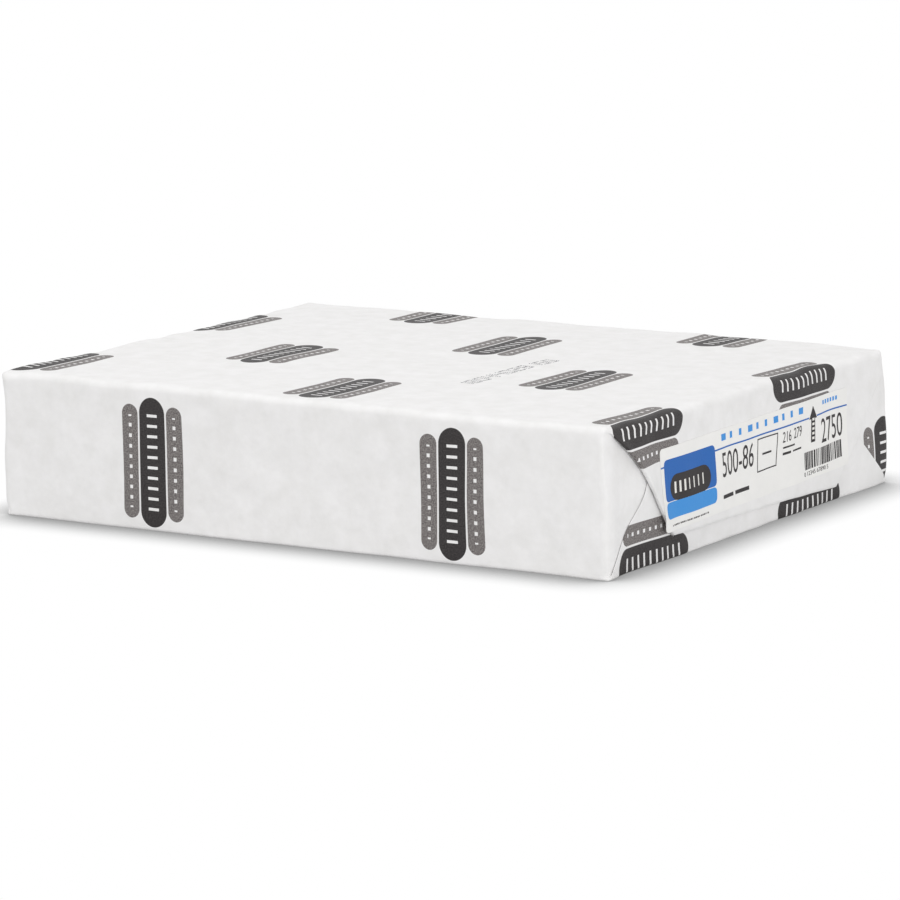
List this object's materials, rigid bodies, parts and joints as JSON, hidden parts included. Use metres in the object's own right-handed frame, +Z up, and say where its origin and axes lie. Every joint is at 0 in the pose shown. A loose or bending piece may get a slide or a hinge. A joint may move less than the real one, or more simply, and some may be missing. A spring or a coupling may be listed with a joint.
{
  "type": "ream of carbonless paper",
  "caption": "Sealed ream of cut sheets in a printed white paper wrapper, squared and flat, with folded ends and a paper label on one end.",
  "frame": {"origin": "middle of the base, under the middle of the sheets, on the surface that the ream lies on", "axes": "+X along the sheets' long side towards the labelled end, +Y along their short side, +Z up through the stack; the label reads upright with +Y to its right"},
  "size_m": [0.2822, 0.217, 0.0566],
  "materials": {
    "wrapper_paper": "white machine-glazed wrapping paper, soft sheen, slightly mottled",
    "label_paper": "warm white coated label paper, satin",
    "grey_ink": "mid grey printed ink on paper, matt, finely grained",
    "black_ink": "near black printed ink on paper, matt",
    "blue_ink": "blue printed ink on label paper, satin",
    "label_black_ink": "black printed ink on label paper, satin"
  },
  "bodies": {
    "root": {"wrapped_ream": "wrapper_paper", "end_label": "label_paper", "wrapper_print_grey": "grey_ink", "wrapper_print_black": "black_ink", "label_print_blue": "blue_ink", "label_print_black": "label_black_ink"}
  },
  "joints": []
}
